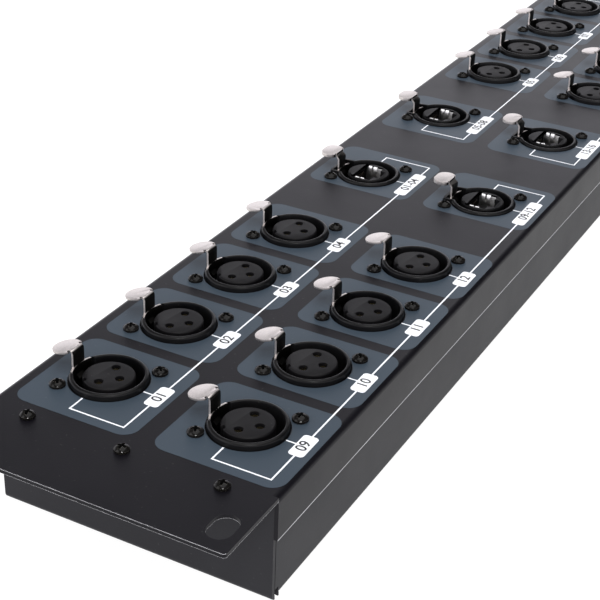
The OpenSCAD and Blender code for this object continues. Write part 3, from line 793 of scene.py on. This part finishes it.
def screwMesh(head, length):
    shape = screwShape
    headRadius, height = shape[head]
    dome = height * (1 - shape["rimShare"])
    radius = (headRadius ** 2 + dome ** 2) / (2 * dome)
    spread = math.asin(headRadius / radius)
    shank, chamfer, rim = shape["shankRadius"], shape["shankChamfer"], shape["rimRound"]
    profile = [(0, -length), (shank - chamfer, -length), (shank, -length + chamfer), (shank, 0),
               (headRadius - rim, 0), (headRadius, rim)]
    steps = shape["domeSteps"]
    for k in range(steps + 1):
        a = spread * (1 - k / steps)
        profile.append((radius * math.sin(a), height - radius + radius * math.cos(a)))
    body = newObject("screwBody", revolve("screwBody", profile, shape["sides"]))
    cutter = newObject("crossCutter", crossCutter(shape, height))
    cut = body.modifiers.new("recess", "BOOLEAN")
    cut.object = cutter
    cut.operation = "DIFFERENCE"
    cut.solver = "EXACT"
    cut.use_self = True
    mesh = plainMesh(body)
    bpy.data.objects.remove(cutter)
    smoothFlats(mesh, shape["smoothAngle"])
    inside = mesh.attributes.new("recess", "FLOAT", "FACE")
    for face in mesh.polygons:
        across = face.center.xy.length
        surface = height - radius + math.sqrt(radius ** 2 - min(across, headRadius) ** 2)
        deep = across < shape["recessReach"] and face.center.z < surface - shape["recessSink"]
        inside.data[face.index].value = 1.0 if deep else 0.0
    return mesh


def addScrews():
    socketPlaces = [p + side * screwOffset for p in xlrPlaces + dataPlaces for side in (-1, 1)]
    x, y = (v - screwShape["coverHead"][0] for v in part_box("cover_screws")[1].xy)
    coverPlaces = [(side * x, row * y, frontZ) for side in (-1, 1) for row in (-1, 0, 1)]
    for kind, places, seed in (("socket", socketPlaces, 11), ("cover", coverPlaces, 5)):
        name = kind + "Screws"
        screw = screwMesh(kind + "Head", screwShape[kind + "Length"])
        mesh = repeatMesh(name, screw, places, screwBlack, math.pi, seed)
        finishPiece(newObject(name, mesh), screwBlack, unitBody, [kind + "_screws"])


addScrews()
print("screws set")


# Latch levers, each on its own body

leverEdges = {"bevel": 0.15 * mm, "segments": 3, "angle": 40}


def addLevers():
    pairs = [(f"xlr_lever_{n:02d}", f"xlr_latch_{n:02d}", f"xlrLever{n:02d}") for n in range(1, 17)]
    pairs += [(f"data_lever_{g}", f"data_latch_{g}", f"dataLever{g.upper()}") for g in groupLetters]
    for node, body, name in pairs:
        mesh = roundedMesh(nodeMesh(node), leverEdges["bevel"], leverEdges["segments"], leverEdges["angle"])
        finishPiece(newObject(name, mesh), leverNickel, body, [node])


addLevers()
print("levers hung")


# Print on the panel: tinted fields, lines, labels and numbers

printing = {
    "fieldThickness": 0.02 * mm,
    "lineThickness": 0.035 * mm,
    "labelThickness": 0.045 * mm,
    "digitThickness": 0.06 * mm,
    "lineWidth": 0.49 * mm,
    "shift": -0.37 * mm,  # the print sits this far off the sockets' middles
    "lineDrop": 16.65 * mm,
    "stubRise": 0.65 * mm,
    "bracketReach": 16.85 * mm,
    "stubStart": 11.5 * mm,
    "fieldLow": 20.75 * mm,
    "fieldHigh": 17.7 * mm,
    "fieldNear": 14.05 * mm,
    "fieldFar": 16.9 * mm,
    "fieldBracket": 20.2 * mm,
    "fieldCorner": 4.5 * mm,
    "xlrLabel": (9.8 * mm, 4.5 * mm),
    "dataLabel": (19.2 * mm, 4.5 * mm),
    "labelCorner": 1.1 * mm,
    "digitHeight": 4.4 * mm,
    "digitStroke": 0.06 * mm,
    "holeRadius": 11.5 * mm,
    "holeTop": (3 * mm, 1.012),  # half width behind the lever and how much further out it lies
    "dataTop": (6.3 * mm, 13.05 * mm, 1.8 * mm),  # half width, reach and corner behind a data lever
}


def arcPoints(cx, cy, radius, start, end, steps):
    return [(cx + radius * math.cos(a), cy + radius * math.sin(a))
            for a in (math.radians(start + (end - start) * k / steps) for k in range(steps + 1))]


def roundedRect(left, low, right, high, radius):
    corners = ((right - radius, low + radius, -90), (right - radius, high - radius, 0),
               (left + radius, high - radius, 90), (left + radius, low + radius, 180))
    return [point for x, y, start in corners for point in arcPoints(x, y, radius, start, start + 90, 8)]


def stripOutline(path, width):
    # Mitred outline of a line along square corners
    left, right = [], []
    for i, point in enumerate(path):
        here = Vector(point)
        before = (here - Vector(path[i - 1])).normalized() if i else None
        after = (Vector(path[i + 1]) - here).normalized() if i < len(path) - 1 else None
        a, b = before or after, after or before
        mid = (a + b).normalized()
        reach = width / 2 / max(0.2, a.dot(mid))
        side = Vector((-mid.y, mid.x)) * reach
        left.append(tuple(here + side))
        right.append(tuple(here - side))
    return left + right[::-1]


def flatMesh(name, outlines, thickness):
    # Thin plate on the panel's face; inner outlines cut holes
    curve = bpy.data.curves.new(name, "CURVE")
    curve.dimensions = "2D"
    curve.fill_mode = "BOTH"
    curve.extrude = thickness / 2
    for outline in outlines:
        spline = curve.splines.new("POLY")
        spline.points.add(len(outline) - 1)
        for point, (x, y) in zip(spline.points, outline):
            point.co = (x, y, 0, 1)
        spline.use_cyclic_u = True
    piece = newObject(name, curve)
    mesh = plainMesh(piece)
    mesh.transform(Matrix.Translation((0, 0, frontZ + thickness / 2)))
    return mesh


def ringHole(place, data):
    # Outline of the panel's hole round a socket, a little wider
    r = printing["holeRadius"]
    if not data:
        half, further = printing["holeTop"]
        outline = [(x, y * (further if y > 0 and abs(x) < half else 1))
                   for x, y in arcPoints(0, 0, r, 0, 360, 95)[:-1]]
    else:
        half, back, corner = printing["dataTop"]
        meet = math.degrees(math.acos(half / r))
        outline = (arcPoints(half - corner, back - corner, corner, 0, 90, 6)
                   + arcPoints(corner - half, back - corner, corner, 90, 180, 6)
                   + arcPoints(0, 0, r, 180 - meet, 360 + meet, 80))
    return [(x + place.x, y + place.y) for x, y in outline]


def fieldShape(place, left, right):
    s = printing
    x = place.x + s["shift"]
    return roundedRect(x - left, place.y - s["fieldLow"], x + right, place.y + s["fieldHigh"],
                       s["fieldCorner"])


def addPrint():
    s = printing
    fields, lines, labels, digits = [], [], [], []
    half = s["lineWidth"] / 2
    allPlaces = [(p, False) for p in xlrPlaces] + [(p, True) for p in dataPlaces]
    endX = max(p.x for p in xlrPlaces)
    for place, isData in allPlaces:
        nearEnd = place.x < 0
        atOuterEnd = abs(abs(place.x) - endX) < mm
        left, right = s["fieldNear"], s["fieldFar"]
        if atOuterEnd and nearEnd or isData and not nearEnd:
            left = s["fieldBracket"]
        if atOuterEnd and not nearEnd or isData and nearEnd:
            right = s["fieldBracket"]
        fields += [fieldShape(place, left, right), ringHole(place, isData)]
        size = s["dataLabel"] if isData else s["xlrLabel"]
        x = place.x + s["shift"]
        y = place.y - s["lineDrop"]
        wide, high = size[0] / 2, size[1] / 2
        labels.append(roundedRect(x - wide, y - high, x + wide, y + high, s["labelCorner"]))
        stub = place.y - s["stubStart"]
        lines.append([(x - half, y + high), (x + half, y + high), (x + half, stub), (x - half, stub)])
    for g, dataPlace in enumerate(dataPlaces):
        outer = xlrPlaces[4 * g] if dataPlace.x < 0 else xlrPlaces[4 * g + 3]
        side = -1 if dataPlace.x < 0 else 1
        y = dataPlace.y - s["lineDrop"]
        top = dataPlace.y + s["stubRise"]
        outerX = outer.x + s["shift"] + side * s["bracketReach"]
        innerX = dataPlace.x + s["shift"] - side * s["bracketReach"]
        path = [(outer.x + side * s["stubStart"], top), (outerX, top), (outerX, y), (innerX, y),
                (innerX, top), (dataPlace.x - side * s["stubStart"], top)]
        lines.append(stripOutline(path, s["lineWidth"]))
        digits.append((f"{4 * g + 1:02d}-{4 * g + 4:02d}", dataPlace))
    digits += [(f"{n:02d}", place) for n, place in enumerate(xlrPlaces, 1)]

    addFlat("tintedFields", flatMesh("tintedFields", fields, s["fieldThickness"]), fieldInk)
    rails = [flatMesh("rail", [outline], s["lineThickness"]) for outline in lines]
    addFlat("whiteLines", joined("whiteLines", rails), printInk)
    addFlat("whiteLabels", flatMesh("whiteLabels", labels, s["labelThickness"]), printInk)
    numbers = [numberMesh(words, place) for words, place in digits]
    addFlat("labelNumbers", joined("labelNumbers", numbers), digitInk)


def numberMesh(words, place):
    s = printing
    text = bpy.data.curves.new("number", "FONT")
    text.body = words
    text.align_x = "CENTER"
    text.align_y = "CENTER"
    text.size = s["digitHeight"]
    text.extrude = s["digitThickness"] / 2
    text.offset = s["digitStroke"]
    mesh = plainMesh(newObject("number", text))
    mesh.transform(Matrix.Translation((place.x + s["shift"], place.y - s["lineDrop"],
                                       frontZ + s["digitThickness"] / 2)))
    return mesh


def addFlat(name, mesh, material):
    finishPiece(newObject(name, mesh), material, unitBody)


addPrint()
print("panel printed")


# Pieces that keep their own solids

keptFinishes = {"xlr_contacts": contactSilver, "data_contacts": contactGold, "lever_pins": pinSteel,
                "lever_springs": springSteel, **{f"board_{g}": boardMask for g in groupLetters}}
for keptNode, keptMaterial in keptFinishes.items():
    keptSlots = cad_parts[keptNode].data.materials
    for slotIndex in range(len(keptSlots)):
        keptSlots[slotIndex] = keptMaterial
    if len(keptSlots) == 0:
        keptSlots.append(keptMaterial)
print("inner pieces finished")
